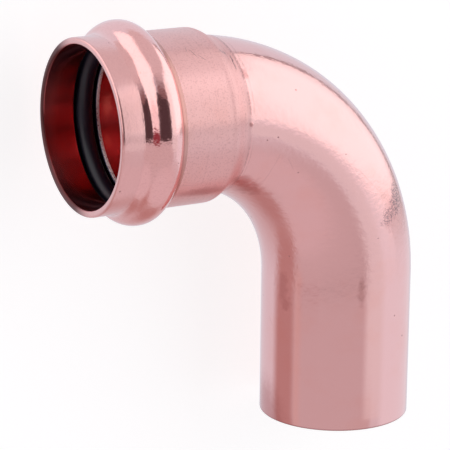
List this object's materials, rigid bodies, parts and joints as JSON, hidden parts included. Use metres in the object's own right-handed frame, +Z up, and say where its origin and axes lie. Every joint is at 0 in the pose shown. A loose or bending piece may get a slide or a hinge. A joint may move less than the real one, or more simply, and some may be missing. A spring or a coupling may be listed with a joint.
{
  "type": "press fit fitting",
  "caption": "Copper quarter bend with a press socket and its rubber seal ring at one end and a plain tube end at the other.",
  "frame": {"origin": "on the surface the fitting lies on, below the middle of its bounding box", "axes": "+Z up from that surface, +Y along the plain end towards the bend, socket opening towards -X and a little upwards"},
  "size_m": [0.069, 0.0782, 0.0358],
  "materials": {
    "copper": "drawn copper, bright and smooth on the bend, faintly satin on the socket",
    "seal_rubber": "smooth black rubber with a soft sheen"
  },
  "bodies": {
    "root": {"elbow_body": "copper", "seal_ring": "seal_rubber"}
  },
  "joints": []
}
